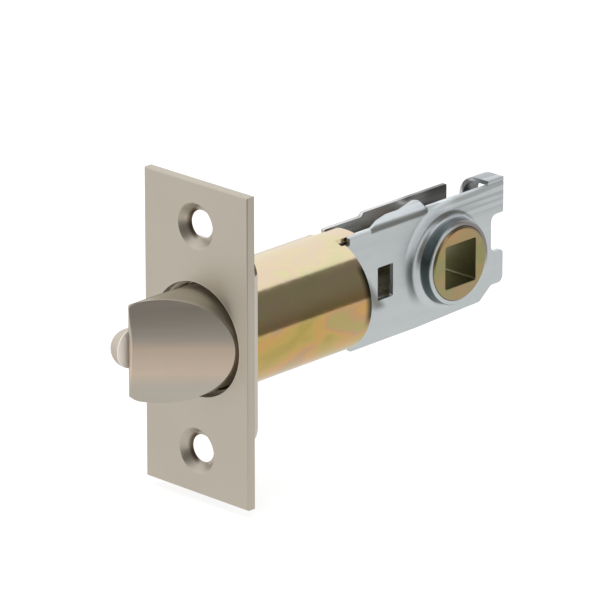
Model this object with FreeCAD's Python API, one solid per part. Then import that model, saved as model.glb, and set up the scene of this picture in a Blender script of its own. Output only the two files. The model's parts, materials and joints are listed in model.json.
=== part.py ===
"""Tubular door latch: a sloped spring bolt with a deadlocking plunger, in a tube behind a
rectangular faceplate, drawn back by a hub with a square spindle hole.

Frame in millimetres. X runs across the faceplate, Y runs from the face into the door,
Z is up. The origin is where the axis of the bolt meets the face of the faceplate.
The bolt stands out to -Y and the hub turns about an axis along X.
"""
import FreeCAD, Part
import math
import os

V = FreeCAD.Vector

# Short straight steps in the foot of a drawn edge, and the flat left beside a full rounding
ease_steps = 3
least_flat = 0.02

# Faceplate: 1 x 2-1/4 inch, for number 8 countersunk wood screws
plate_height = 57.15
plate_thickness = 1.75
plate_side_margin = 0.4
plate_edge_round = 0.3
screw_spacing = 41.3
screw_hole_radius = 2.5
screw_sink_radius = 4.2

# Tube housing, drawn from one disc with its backing flange
tube_radius = 10.6
tube_wall = 0.85
tube_end_y = 33.4
flange_thickness = 0.8
flange_height = 36.2
flange_corner = 4.5
flare_radius = 1.4
tongue_half_width = 2.4
tongue_length = 4.2
tongue_hook_drop = 1.9
tongue_fork_gap = 0.3
rim_notch_width = 1.7
rim_notch_depth = 1.2
rim_chamfer = 0.3
stop_window_length = 2.4

# Case plates, blanked and folded from sheet
case_outer_x = 3.5
case_thickness = 0.8
case_front_y = 35.0
case_rear_y = 75.3
case_top_rise = 0.6
case_bottom_drop = 0.3
case_step = 0.7
case_bore_clearance = 0.1
edge_round = 0.3
window_front_y = 42.2
window_length = 4.0
window_bottom_z = -3.2
window_top_z = 3.0
notch_depth = 3.2
notch_top_z = 5.3
notch_bottom_z = -1.8
notch_round = 1.3
lug_bottom_z = -8.0
lug_top_round = 0.8
lug_round = 1.2
rear_slope = 3.1
slope_round = 0.5
bottom_rise = 0.5
bottom_rise_start = 17.0
bottom_round = 1.0
spacer_radius = 1.2

# Tabs that are folded from the case plates, with lengths from the front of the case
front_tab_start = 5.5
front_tab_shoulder = 12.0
front_tab_waist = 15.5
front_tab_tip = 22.4
front_tab_foot = 20.2
front_tab_shoulder_reach = 2.8
front_tab_reach = 5.1
front_tab_bend = 0.8
front_tab_rise = 2.8
front_tab_round = 3.0
front_tab_tip_round = 0.8
rear_tab_length = 4.1
rear_tab_bend = 3.2
rear_gap_length = 4.3
rear_gap_depth = 4.2
rear_gap_round = 0.8
far_step_start = 9.4
bottom_tab_start = 8.0
bottom_tab_length = 9.0
bottom_tab_bend = 0.6

# Retractor hub and the collars drawn round it
backset = 60.3
hub_radius = 6.87
hub_fit = 0.08
hub_face_x = 6.9
hub_chamfer = 0.3
spindle_square = 8.0
spindle_corner = 0.4
collar_wall = 0.85
collar_height = 3.0
collar_fillet = 1.5
collar_entry = 0.4
cam_disc_step = 0.83
lug_stand_off = 1.8
lug_nose_radius = 1.25
hub_side_gap = 0.25
hub_tail_gap = 0.3
hub_swing_deg = 78.34

# Bolt and its travel
bolt_clearance = 0.3
bolt_hole_gap = 0.95
bolt_throw = 12.7
bolt_travel = 12.0
bolt_rear_y = 14.0
bolt_flat_x = -4.5
tip_land = 1.7
tip_round = 1.3
bevel_round = 0.7
bevel_crown_radius = 50.0
spring_bore_radius = 5.0
spring_bore_bottom_y = 6.0
tail_slot_clearance = 0.1
tail_front_y = 1.2

# Tail: a stamped fork
tail_thickness = 1.5
tail_half_height = 3.3
tail_corner = 0.6
fork_corner = 0.8
fork_bore_gap = 0.05
fork_hub_gap = 0.28
tab_length = 3.15
tab_height = 1.8
tab_gap = 0.35
tab_bend = 0.2
tail_gap = 0.25
pin_radius = 1.2
pin_y = 3.5
pin_clearance = 0.03

# Springs, of round wire that is drawn as a coarse six-sided section
wire_sides = 6
bolt_spring_radius = 4.2
bolt_spring_wire = 0.8
bolt_spring_turns = 7
bolt_spring_steps = 12
plunger_spring_radius = 1.25
plunger_spring_wire = 0.4
plunger_spring_turns = 10
plunger_spring_steps = 8
guide_rod_radius = 0.7
guide_rod_y = 16.0
closed_pitch = 1.15

# Spring seat, a stamped disc that the case plates hold in the tube
seat_inset = 2.6
seat_thickness = 0.8
seat_clearance = 0.05
seat_collar_height = 1.2
seat_collar_wall = 0.6
seat_collar_gap = 0.3

# Deadlocking plunger and pawl
plunger_side_clearance = 0.25
plunger_clearance = 0.4
plunger_half_height = 3.55
plunger_rear_y = 14.0
plunger_shoulder_y = -5.0
plunger_shoulder_round = 2.0
nose_radius = 3.5
nose_inset = 0.25
nose_tip_y = -14.4
plunger_bore_radius = 1.7
plunger_bore_bottom_y = 3.0
fin_thickness = 1.0
fin_inset = 1.95
fin_top_z = 5.4
fin_length = 2.5
stop_gap = 0.3
pawl_bottom_z = 3.75
pawl_thickness = 1.2
pawl_pivot_inset = 1.25
pawl_pivot_y = 28.4
pawl_eye_radius = 1.3
pawl_pin_radius = 0.8
pawl_pin_fit = 0.05
pawl_nose_gap = 0.35
pawl_foot_length = 2.05
pawl_nose_half = 0.4
pawl_nose_round = 0.2
pawl_back_round = 0.4
pawl_foot_round = 0.3
pawl_outer_edge = [(-0.9, -8.5, 3.0), (-0.8, -3.0, 3.0), (-1.1, 0.0, 0.0)]
pawl_inner_edge = [(1.1, 0.0, 0.0), (0.8, -2.2, 0.5), (0.55, -5.9, 2.0), (0.5, -9.9, 1.0)]
ear_thickness = 0.6
ear_low_gap = 0.25
ear_high_gap = 0.75
ear_reach = 1.2
ear_half_width = 1.05
recess_depth = 1.6
recess_side_gap = 0.3
recess_front_y = 1.5
recess_land = 3.0
pawl_spring_wire = 0.3
pawl_spring_gap = 0.1
pawl_spring_steps = 12
pawl_spring_reach = 4.2

# Places that follow from the sizes above
plate_width = 2 * (tube_radius + flare_radius + plate_side_margin)
tube_bore = tube_radius - tube_wall
bolt_radius = tube_bore - bolt_clearance
bolt_hole_radius = bolt_radius + bolt_hole_gap
plunger_radius = tube_bore - plunger_clearance
case_inner_x = case_outer_x - case_thickness
case_top_z = tube_radius + case_top_rise
case_bottom_z = -(tube_radius + case_bottom_drop)
case_front_top_z = case_top_z - case_step
seat_rear_y = tube_end_y - seat_inset
seat_front_y = seat_rear_y - seat_thickness
tail_outer_x = case_inner_x - tail_gap
tail_inner_x = tail_outer_x - tail_thickness
tail_middle_x = tail_outer_x - tail_thickness / 2
hub_hole_radius = hub_radius + hub_fit
cam_disc_radius = hub_radius + cam_disc_step
lug_circle_radius = cam_disc_radius + lug_stand_off
lug_half_swing = math.radians(hub_swing_deg / 2)
lug_rest_y = backset - lug_circle_radius * math.sin(lug_half_swing)
fork_half_height = tube_bore + fork_bore_gap
tab_foot_z = fork_half_height - tab_height
tab_front_y = lug_rest_y + lug_nose_radius + tab_gap
tab_rear_y = tab_front_y + tail_thickness
fork_window_half = hub_radius + fork_hub_gap
crotch_y = backset - bolt_travel - fork_window_half
tongue_end_y = tube_end_y + tongue_length
fork_front_y = tongue_end_y + tongue_fork_gap
notch_bottom_y = case_rear_y - notch_depth
plunger_inner_x = bolt_flat_x - plunger_side_clearance
plunger_bore_x = (plunger_inner_x - plunger_radius) / 2
fin_inner_x = plunger_inner_x - fin_inset
fin_outer_x = fin_inner_x - fin_thickness
stop_rear_y = plunger_rear_y - fin_length - stop_gap
pawl_pivot_x = plunger_inner_x - pawl_pivot_inset
pawl_top_z = pawl_bottom_z + pawl_thickness
ear_low_z = pawl_bottom_z - ear_low_gap - ear_thickness
ear_high_z = pawl_top_z + ear_high_gap
far = 40.0


def block(x0, x1, y0, y1, z0, z1):
    """A box between two corners."""
    return Part.makeBox(x1 - x0, y1 - y0, z1 - z0, V(x0, y0, z0))


def rod_y(radius, y0, y1, x=0.0, z=0.0):
    """A cylinder along Y."""
    return Part.makeCylinder(radius, y1 - y0, V(x, y0, z), V(0, 1, 0))


def rod_x(radius, x0, x1, y=0.0, z=0.0):
    """A cylinder along X."""
    return Part.makeCylinder(radius, x1 - x0, V(x0, y, z), V(1, 0, 0))


def rod_z(radius, z0, z1, x=0.0, y=0.0):
    """A cylinder along Z."""
    return Part.makeCylinder(radius, z1 - z0, V(x, y, z0), V(0, 0, 1))


def rounded_wire(corners, place):
    """A closed outline through corners (u, v, radius), each rounded by its radius."""
    points = [V(u, v, 0) for u, v, radius in corners]
    edges = []
    starts = []
    ends = []
    middles = []
    for i, (u, v, radius) in enumerate(corners):
        to_last = (points[i - 1] - points[i]).normalize()
        to_next = (points[(i + 1) % len(points)] - points[i]).normalize()
        half = to_last.getAngle(to_next) / 2
        back = radius / math.tan(half)
        inward = (to_last + to_next)
        starts.append(points[i] + to_last * back)
        ends.append(points[i] + to_next * back)
        if radius > 0:
            reach = radius / math.sin(half) - radius
            middles.append(points[i] + inward.normalize() * reach)
        else:
            middles.append(points[i])
    for i, (u, v, radius) in enumerate(corners):
        if radius > 0:
            edges.append(Part.Arc(place(starts[i]), place(middles[i]), place(ends[i])).toShape())
        next_start = starts[(i + 1) % len(corners)]
        if (next_start - ends[i]).Length > 1e-6:
            edges.append(Part.LineSegment(place(ends[i]), place(next_start)).toShape())
    return Part.Wire(edges)


def slab_x(corners, x0, x1):
    """An outline of (y, z, radius) corners, thickened from x0 to x1."""
    wire = rounded_wire(corners, lambda p: V(x0, p.x, p.y))
    return Part.Face(wire).extrude(V(x1 - x0, 0, 0))


def slab_y(corners, y0, y1):
    """An outline of (x, z, radius) corners, thickened from y0 to y1."""
    wire = rounded_wire(corners, lambda p: V(p.x, y0, p.y))
    return Part.Face(wire).extrude(V(0, y1 - y0, 0))


def slab_z(corners, z0, z1):
    """An outline of (x, y, radius) corners, thickened from z0 to z1."""
    wire = rounded_wire(corners, lambda p: V(p.x, p.y, z0))
    return Part.Face(wire).extrude(V(0, 0, z1 - z0))


def rectangle(u0, u1, v0, v1, radius=0.0):
    """The four corners of a rectangle, all with one radius."""
    return [(u0, v0, radius), (u1, v0, radius), (u1, v1, radius), (u0, v1, radius)]


def eased(u, v, radius):
    """The inner corner (u, v) as short straight steps that follow its rounding."""
    turns = [math.pi / 2 * k / ease_steps for k in range(ease_steps + 1)]
    return [(u + radius * (1 - math.sin(turn)), v + radius * (1 - math.cos(turn)), 0.0)
            for turn in turns]


def wire_along(points, wire_radius, axis):
    """Round wire along a path of points that winds about an axis, as a ruled skin."""
    share = 2 * math.pi / wire_sides
    corner_radius = wire_radius * math.sqrt(share / math.sin(share))
    rings = []
    for i, point in enumerate(points):
        along = points[min(i + 1, len(points) - 1)] - points[max(i - 1, 0)]
        outward = along.cross(axis).normalize()
        upward = outward.cross(along).normalize()
        corners = []
        for k in range(wire_sides + 1):
            turn = share * k
            corners.append(point + outward * (corner_radius * math.cos(turn))
                           + upward * (corner_radius * math.sin(turn)))
        rings.append(Part.makePolygon(corners))
    return Part.makeLoft(rings, True, True)


def coil(radius, wire, turns, steps, y0, y1, x):
    """A compression spring along Y from y0 to y1, with one closed turn at each end."""
    low = y0 + wire / 2
    high = y1 - wire / 2
    closed = wire * closed_pitch
    pitch = (high - low - 2 * closed) / turns
    points = []
    for i in range((turns + 2) * steps + 1):
        turn = i / steps
        open_turns = min(max(turn - 1, 0), turns)
        y = low + closed * (turn - open_turns) + pitch * open_turns
        angle = 2 * math.pi * turn
        points.append(V(x + radius * math.cos(angle), y, radius * math.sin(angle)))
    return wire_along(points, wire / 2, V(0, 1, 0))


def faceplate():
    """Square-cornered plate with the bolt hole and two countersunk screw holes."""
    half_w = plate_width / 2
    half_h = plate_height / 2
    plate = block(-half_w, half_w, 0, plate_thickness, -half_h, half_h)
    front = [e for e in plate.Edges if e.CenterOfMass.y < plate_edge_round / 2]
    plate = plate.makeFillet(plate_edge_round, front)
    plate = plate.cut(rod_y(bolt_hole_radius, -far, far))
    sink_depth = screw_sink_radius - screw_hole_radius
    for z in (-screw_spacing / 2, screw_spacing / 2):
        sink = Part.makeCone(screw_sink_radius, screw_hole_radius, sink_depth,
                             V(0, 0, z), V(0, 1, 0))
        plate = plate.cut(rod_y(screw_hole_radius, -far, far, 0, z)).cut(sink)
    return plate


def tube_housing():
    """Flange, flare and tube in one, with two hooked tongues that stop the fork."""
    flange_back_y = plate_thickness + flange_thickness
    flange = slab_y(rectangle(-plate_width / 2, plate_width / 2, -flange_height / 2,
                              flange_height / 2, flange_corner), plate_thickness, flange_back_y)
    tube = rod_y(tube_radius, plate_thickness, tube_end_y)
    rim = [e for e in tube.Edges if e.CenterOfMass.y > tube_end_y - rim_chamfer and e.Closed]
    tube = tube.makeChamfer(rim_chamfer, rim)
    wall_middle = tube_radius - tube_wall / 2
    corners = [(wall_middle, plate_thickness, 0.0),
               (tube_radius + flare_radius, plate_thickness, 0.0)]
    corners += eased(tube_radius, flange_back_y, flare_radius)
    corners.append((wall_middle, flange_back_y + flare_radius, 0.0))
    wire = rounded_wire(corners, lambda p: V(p.x, p.y, 0))
    flare = Part.Face(wire).revolve(V(0, 0, 0), V(0, 1, 0), 360)
    housing = flange.fuse(tube).fuse(flare)
    for side in (-1, 1):
        housing = housing.fuse(tongue(side))
        notch_x = side * (tongue_half_width + rim_notch_width / 2)
        notch = block(notch_x - rim_notch_width / 2, notch_x + rim_notch_width / 2,
                      tube_end_y - rim_notch_depth, tube_end_y + 1, -tube_radius, tube_radius)
        housing = housing.cut(notch)
    entry = Part.makeCone(tube_radius, tube_bore, tube_wall, V(0, plate_thickness, 0), V(0, 1, 0))
    housing = housing.cut(rod_y(tube_bore, -far, tube_end_y + 1)).cut(entry)
    housing = housing.cut(stop_window()).fuse(plunger_stop())
    return housing.removeSplitter()


def tongue(side):
    """A strip of the tube's wall that runs on past its end and is hooked inward."""
    ring = rod_y(tube_radius, tube_end_y - 1, tongue_end_y).cut(rod_y(tube_bore, -far, far))
    strip = block(-tongue_half_width, tongue_half_width, tube_end_y - 1, tongue_end_y,
                  min(0, side * far), max(0, side * far))
    hook_foot = tube_bore - tongue_hook_drop
    hook_top = math.sqrt(tube_radius ** 2 - tongue_half_width ** 2)
    hook = block(-tongue_half_width, tongue_half_width, tongue_end_y - tube_wall, tongue_end_y,
                 min(side * hook_foot, side * hook_top), max(side * hook_foot, side * hook_top))
    return ring.common(strip).fuse(hook)


def plunger_stop():
    """A tab lanced from the wall and pushed inward, in front of the fin of the plunger."""
    tab = block(-tube_radius, fin_inner_x - stop_gap, stop_rear_y - tube_wall, stop_rear_y,
                plunger_half_height + stop_gap, fin_top_z)
    return tab.common(rod_y(tube_radius, plate_thickness, tube_end_y))


def stop_window():
    """The hole that the lanced tab leaves in the wall of the tube."""
    rear = stop_rear_y - tube_wall
    return block(-tube_radius, -tube_bore / 2, rear - stop_window_length, rear,
                 plunger_half_height + stop_gap, fin_top_z)


def hub_collar(side):
    """The collar that is drawn outward from a case plate round the hub."""
    outer = hub_hole_radius + collar_wall
    top = case_outer_x + collar_height
    corners = eased(outer, case_outer_x, collar_fillet)
    corners += [(outer, top - edge_round, 0.0), (outer - edge_round, top, 0.0),
                (hub_hole_radius, top, 0.0), (hub_hole_radius, case_inner_x + collar_entry, 0.0),
                (hub_hole_radius + collar_entry, case_inner_x, 0.0),
                (outer + collar_fillet, case_inner_x, 0.0)]
    wire = rounded_wire(corners, lambda p: V(side * p.y, backset + p.x, 0))
    return Part.Face(wire).revolve(V(0, backset, 0), V(1, 0, 0), 360)


def case_blank(side, top_corners):
    """A flat case plate: tongue in the tube, top edge, notched rear, bottom edge."""
    tongue_z = math.sqrt(tube_bore ** 2 - case_outer_x ** 2) - case_bore_clearance
    slope_y = case_rear_y - rear_slope
    corners = [(case_front_y, -tongue_z, 0.0), (seat_rear_y, -tongue_z, 0.0),
               (seat_rear_y, tongue_z, 0.0), (case_front_y, tongue_z, 0.0)]
    corners += top_corners
    corners += [(case_rear_y, notch_top_z, edge_round),
                (notch_bottom_y, notch_top_z, notch_round),
                (notch_bottom_y, notch_bottom_z, notch_round),
                (case_rear_y, notch_bottom_z, lug_top_round),
                (case_rear_y, lug_bottom_z, lug_round), (slope_y, lug_bottom_z, slope_round),
                (slope_y - rear_slope, case_bottom_z + bottom_rise, bottom_round),
                (case_front_y + bottom_rise_start, case_bottom_z, 0.0),
                (case_front_y, case_bottom_z, edge_round)]
    x0 = min(side * case_inner_x, side * case_outer_x)
    plate = slab_x(corners, x0, x0 + case_thickness)
    plate = plate.cut(rod_x(hub_hole_radius + collar_wall + collar_fillet, -far, far, backset))
    window = slab_x(rectangle(window_front_y, window_front_y + window_length, window_bottom_z,
                              window_top_z, edge_round), -far, far)
    return plate.fuse(hub_collar(side)).cut(window)


def fold(side, y0, y1, edge_z, reach_x, bend):
    """A tab folded in from the top or bottom edge of a plate, along Y from y0 to y1."""
    up = 1 if edge_z > 0 else -1
    root_z = edge_z - up * (bend + 2 * case_thickness)
    inner_z = edge_z - up * case_thickness
    corners = [(side * case_inner_x, root_z, 0.0), (side * case_outer_x, root_z, 0.0),
               (side * case_outer_x, edge_z, bend + case_thickness), (reach_x, edge_z, 0.0),
               (reach_x, inner_z, 0.0), (side * case_inner_x, inner_z, bend)]
    return slab_y(corners, y0, y1)


def edge_opened(plate, side, y0, y1, edge_z, bend):
    """The plate without its edge from y0 to y1, where a tab is folded from it."""
    up = 1 if edge_z > 0 else -1
    z0, z1 = sorted((edge_z - up * (bend + case_thickness), up * far))
    x0, x1 = sorted((side * case_inner_x, side * case_outer_x))
    return plate.cut(block(x0, x1, y0, y1, z0, z1))


def case_plate_right():
    """The plate on the +X side, with a softly folded front tab that widens to the rear."""
    tab_y = case_front_y + front_tab_start
    shoulder_x = case_outer_x - front_tab_shoulder_reach
    tip_x = case_outer_x - front_tab_reach
    tip_y = case_front_y + front_tab_tip
    foot_y = case_front_y + front_tab_foot
    plate = case_blank(1, [(case_front_y, case_front_top_z, edge_round),
                           (tab_y, case_front_top_z, 0.0), (tab_y, case_top_z, 0.0),
                           (case_rear_y, case_top_z, edge_round)])
    tab = fold(1, tab_y, tip_y, case_top_z, tip_x, front_tab_bend)
    outline = slab_z([(case_outer_x, tab_y, 0.0), (case_inner_x, tab_y, 0.0),
                      (shoulder_x, case_front_y + front_tab_shoulder, front_tab_round),
                      (shoulder_x, case_front_y + front_tab_waist, front_tab_round),
                      (tip_x, tip_y, front_tab_tip_round), (case_inner_x, foot_y, 0.0),
                      (case_outer_x, foot_y, 0.0)], 0, far)
    above = slab_x([(tab_y, case_front_top_z, 0.0), (tab_y + front_tab_rise, case_top_z, 0.0),
                    (tab_y, case_top_z, 0.0)], -far, far)
    plate = edge_opened(plate, 1, tab_y, foot_y, case_top_z, front_tab_bend)
    return plate.fuse(tab.common(outline).cut(above)).removeSplitter()


def case_plate_left():
    """The plate on the -X side: a stepped top, a gap, a rear tab that laps the other plate
    and a bottom tab that reaches to it."""
    gap_bottom = case_top_z - rear_gap_depth
    bend_z = case_top_z - rear_tab_bend
    step_y = case_front_y + far_step_start
    tab_y = case_rear_y - rear_tab_length
    gap_y = tab_y - rear_gap_length
    plate = case_blank(-1, [(case_front_y, case_front_top_z, edge_round),
                            (step_y, case_front_top_z, edge_round),
                            (step_y + case_step, case_top_z, edge_round),
                            (gap_y, case_top_z, edge_round), (gap_y, gap_bottom, rear_gap_round),
                            (tab_y, gap_bottom, rear_gap_round), (tab_y, bend_z, 0.0),
                            (case_rear_y, bend_z, 0.0)])
    rear = fold(-1, tab_y, case_rear_y, case_top_z + case_thickness, case_outer_x, rear_tab_bend)
    bottom_y = case_front_y + bottom_tab_start
    bottom_end = bottom_y + bottom_tab_length
    plate = edge_opened(plate, -1, bottom_y, bottom_end, case_bottom_z, bottom_tab_bend)
    bottom = fold(-1, bottom_y, bottom_end, case_bottom_z, case_inner_x, bottom_tab_bend)
    return plate.fuse(rear).fuse(bottom).removeSplitter()


def case_spacers():
    """Two posts that hold the rear ends of the case plates apart."""
    y = (notch_bottom_y + case_rear_y) / 2
    lower_z = (notch_bottom_z + lug_bottom_z) / 2
    upper_z = notch_top_z + edge_round + spacer_radius
    posts = [rod_x(spacer_radius, -case_inner_x, case_inner_x, y, z) for z in (lower_z, upper_z)]
    return Part.makeCompound(posts)


def spring_seat():
    """Stamped disc with a slot for the tail, a collar for the spring and the pawl's ears."""
    seat = rod_y(tube_bore - seat_clearance, seat_front_y, seat_rear_y)
    collar_inner = bolt_spring_radius + bolt_spring_wire / 2 + seat_collar_gap
    collar = rod_y(collar_inner + seat_collar_wall, seat_front_y - seat_collar_height,
                   seat_front_y, tail_middle_x)
    seat = seat.fuse(collar).cut(rod_y(collar_inner, 0, seat_front_y, tail_middle_x))
    ear_y = pawl_pivot_y - ear_reach
    ear_outer_x = pawl_pivot_x - ear_half_width
    ear_inner_x = pawl_pivot_x + ear_half_width
    for ear_z in (ear_low_z, ear_high_z):
        seat = seat.fuse(slab_z([(ear_outer_x, seat_front_y, 0.0),
                                 (ear_outer_x, ear_y, ear_thickness),
                                 (ear_inner_x, ear_y, ear_thickness),
                                 (ear_inner_x, seat_front_y, 0.0)], ear_z, ear_z + ear_thickness))
    slot = block(tail_inner_x - tail_slot_clearance, tail_outer_x + tail_slot_clearance,
                 0, far, -tail_half_height - tail_slot_clearance,
                 tail_half_height + tail_slot_clearance)
    pin_hole = rod_z(pawl_pin_radius, 0, tube_bore, pawl_pivot_x, pawl_pivot_y)
    return seat.cut(slot).cut(pin_hole).removeSplitter()


def latch_bolt():
    """Round bolt with a flat side, a rounded tip and a crowned bevel, bored from the rear."""
    bevel_start = V(bolt_flat_x + tip_land, -bolt_throw, 0)
    bolt = rod_y(bolt_radius, -bolt_throw, bolt_rear_y)
    plan = slab_z([(bolt_flat_x, -bolt_throw, tip_round), (bevel_start.x, -bolt_throw, bevel_round),
                   (bolt_radius, 0, 0.0), (bolt_radius, bolt_rear_y, 0.0),
                   (bolt_flat_x, bolt_rear_y, 0.0)], -bolt_radius, bolt_radius)
    along = (V(bolt_radius, 0, 0) - bevel_start).normalize()
    inward = V(-along.y, along.x, 0)
    crown = Part.makeCylinder(bevel_crown_radius, 4 * far,
                              bevel_start + inward * bevel_crown_radius - along * 2 * far, along)
    bolt = bolt.common(plan).common(crown)
    bolt = bolt.cut(rod_y(spring_bore_radius, spring_bore_bottom_y, far, tail_middle_x))
    slot = block(tail_inner_x - tail_slot_clearance, tail_outer_x + tail_slot_clearance,
                 tail_front_y - tail_slot_clearance, far,
                 -tail_half_height - tail_slot_clearance, tail_half_height + tail_slot_clearance)
    recess = block(-far, bolt_flat_x + recess_depth, recess_front_y, bolt_rear_y - recess_land,
                   pawl_bottom_z - recess_side_gap, pawl_top_z + recess_side_gap)
    return bolt.cut(slot).cut(rod_x(pin_radius, -far, far, pin_y)).cut(recess)


def bolt_tail():
    """Flat bar that widens into a fork, with a tab folded from the end of each arm."""
    arm_end = tab_front_y - 2 * tab_bend
    window_round = fork_window_half - least_flat
    corners = [(tail_front_y, -tail_half_height, tail_corner),
               (tail_front_y, tail_half_height, tail_corner),
               (fork_front_y, tail_half_height, fork_corner),
               (fork_front_y, fork_half_height, fork_corner),
               (arm_end, fork_half_height, 0.0), (arm_end, fork_window_half, 0.0),
               (crotch_y, fork_window_half, window_round),
               (crotch_y, -fork_window_half, window_round),
               (arm_end, -fork_window_half, 0.0), (arm_end, -fork_half_height, 0.0),
               (fork_front_y, -fork_half_height, fork_corner),
               (fork_front_y, -tail_half_height, fork_corner)]
    tail = slab_x(corners, tail_inner_x, tail_outer_x)
    tab_x = tail_inner_x - tab_length
    root_y = arm_end - tail_thickness
    for side in (-1, 1):
        z0 = min(side * tab_foot_z, side * fork_half_height)
        tab = slab_z([(tail_outer_x, root_y, 0.0),
                      (tail_outer_x, tab_rear_y, tail_thickness + tab_bend),
                      (tab_x, tab_rear_y, edge_round), (tab_x, tab_front_y, edge_round),
                      (tail_inner_x, tab_front_y, tab_bend), (tail_inner_x, root_y, 0.0)],
                     z0, z0 + tab_height)
        tail = tail.fuse(tab)
    return tail.cut(rod_x(pin_radius + pin_clearance, -far, far, pin_y)).removeSplitter()


def tail_pin():
    """Cross pin that joins the tail to the bolt."""
    end_x = math.sqrt(bolt_radius ** 2 - pin_radius ** 2) - tail_slot_clearance
    return rod_x(pin_radius, bolt_flat_x + tail_slot_clearance, end_x, pin_y)


def bolt_spring():
    """Compression spring round the tail, from the bore of the bolt to the seat."""
    return coil(bolt_spring_radius, bolt_spring_wire, bolt_spring_turns, bolt_spring_steps,
                spring_bore_bottom_y, seat_front_y, tail_middle_x)


def deadlock_plunger():
    """Bar beside the flat of the bolt, with a domed nose and a fin for the pawl."""
    body = rod_y(plunger_radius, plunger_shoulder_y, plunger_rear_y)
    plan = slab_z([(plunger_inner_x, plunger_shoulder_y, 0.0),
                   (-plunger_radius, plunger_shoulder_y, plunger_shoulder_round),
                   (-plunger_radius, plunger_rear_y, 0.0), (plunger_inner_x, plunger_rear_y, 0.0)],
                  -plunger_half_height, plunger_half_height)
    nose_x = plunger_inner_x - nose_inset
    nose_y = nose_tip_y + nose_radius
    nose = rod_y(nose_radius, nose_y, plunger_shoulder_y + plunger_shoulder_round, nose_x)
    nose = nose.fuse(Part.makeSphere(nose_radius, V(nose_x, nose_y, 0)))
    nose = nose.cut(block(plunger_inner_x, far, -far, far, -far, far))
    fin = block(fin_outer_x, fin_inner_x, plunger_rear_y - fin_length, plunger_rear_y,
                plunger_half_height - fin_thickness, fin_top_z)
    bore = rod_y(plunger_bore_radius, plunger_bore_bottom_y, far, plunger_bore_x)
    return body.common(plan).fuse(nose).fuse(fin).cut(bore).removeSplitter()


def plunger_spring():
    """Light compression spring in the bore of the plunger."""
    return coil(plunger_spring_radius, plunger_spring_wire, plunger_spring_turns,
                plunger_spring_steps, plunger_bore_bottom_y, seat_front_y, plunger_bore_x)


def guide_rod():
    """Wire that keeps the plunger's spring straight, fixed to the seat."""
    return rod_y(guide_rod_radius, guide_rod_y, seat_front_y, plunger_bore_x)


def deadlock_pawl():
    """Flat lever with a hooked nose, which the plunger's fin wedges towards the bolt."""
    nose_y = bolt_rear_y + pawl_nose_gap
    corners = [(plunger_inner_x, nose_y, pawl_nose_round),
               (pawl_pivot_x - pawl_nose_half, nose_y, pawl_back_round)]
    for x, y, radius in pawl_outer_edge + pawl_inner_edge:
        corners.append((pawl_pivot_x + x, pawl_pivot_y + y, radius))
    corners.append((plunger_inner_x, nose_y + pawl_foot_length, pawl_foot_round))
    pawl = slab_z(corners, pawl_bottom_z, pawl_top_z)
    pawl = pawl.fuse(rod_z(pawl_eye_radius, pawl_bottom_z, pawl_top_z, pawl_pivot_x, pawl_pivot_y))
    pawl = pawl.cut(rod_z(pawl_pin_radius + pawl_pin_fit, 0, far, pawl_pivot_x, pawl_pivot_y))
    return pawl.removeSplitter()


def pawl_pin():
    """Pin through the two ears of the seat."""
    return rod_z(pawl_pin_radius, ear_low_z, ear_high_z + ear_thickness, pawl_pivot_x, pawl_pivot_y)


def pawl_spring():
    """Spring of one turn round the pawl's pin, from the seat to the inner edge of the pawl."""
    wire = pawl_spring_wire / 2
    coil_radius = pawl_pin_radius + wire + pawl_spring_gap
    low = pawl_top_z + wire + pawl_pin_fit
    pitch = pawl_spring_wire * closed_pitch
    leg_x = pawl_pivot_x + coil_radius
    leg_y = pawl_pivot_y - pawl_spring_reach
    points = [V(leg_x, leg_y - pawl_spring_wire, low - pawl_thickness / 2), V(leg_x, leg_y, low)]
    for i in range(pawl_spring_steps + 1):
        turn = i / pawl_spring_steps
        angle = 2 * math.pi * turn
        points.append(V(pawl_pivot_x + coil_radius * math.cos(angle),
                        pawl_pivot_y + coil_radius * math.sin(angle), low + pitch * turn))
    points.append(V(leg_x, seat_front_y, low + pitch))
    return wire_along(points, wire, V(0, 0, 1))


def retractor_hub():
    """Hub with a square hole, a journal on each side and two retractor lugs between them."""
    hub = rod_x(hub_radius, -hub_face_x, hub_face_x, backset)
    rims = [e for e in hub.Edges if e.Closed and abs(abs(e.CenterOfMass.x) - hub_face_x) < 0.01]
    hub = hub.makeChamfer(hub_chamfer, rims)
    cam_x0 = -case_inner_x + hub_side_gap
    cam_x1 = tail_inner_x - hub_tail_gap
    hub = hub.fuse(rod_x(cam_disc_radius, cam_x0, cam_x1, backset))
    reach = lug_circle_radius + lug_nose_radius
    nose_round = lug_nose_radius - least_flat
    for side in (-1, 1):
        lug = slab_x([(backset - lug_nose_radius, 0, 0.0),
                      (backset - lug_nose_radius, side * reach, nose_round),
                      (backset + lug_nose_radius, side * reach, nose_round),
                      (backset + lug_nose_radius, 0, 0.0)], cam_x0, cam_x1)
        lug.rotate(V(0, backset, 0), V(1, 0, 0), side * hub_swing_deg / 2)
        hub = hub.fuse(lug)
    half = spindle_square / 2
    square = slab_x(rectangle(backset - half, backset + half, -half, half, spindle_corner),
                    -far, far)
    return hub.cut(square).removeSplitter()


pieces = {
    "faceplate": faceplate,
    "tube_housing": tube_housing,
    "case_plate_right": case_plate_right,
    "case_plate_left": case_plate_left,
    "case_spacers": case_spacers,
    "spring_seat": spring_seat,
    "latch_bolt": latch_bolt,
    "bolt_tail": bolt_tail,
    "tail_pin": tail_pin,
    "bolt_spring": bolt_spring,
    "deadlock_plunger": deadlock_plunger,
    "plunger_spring": plunger_spring,
    "guide_rod": guide_rod,
    "deadlock_pawl": deadlock_pawl,
    "pawl_pin": pawl_pin,
    "pawl_spring": pawl_spring,
    "retractor_hub": retractor_hub,
}

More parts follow.
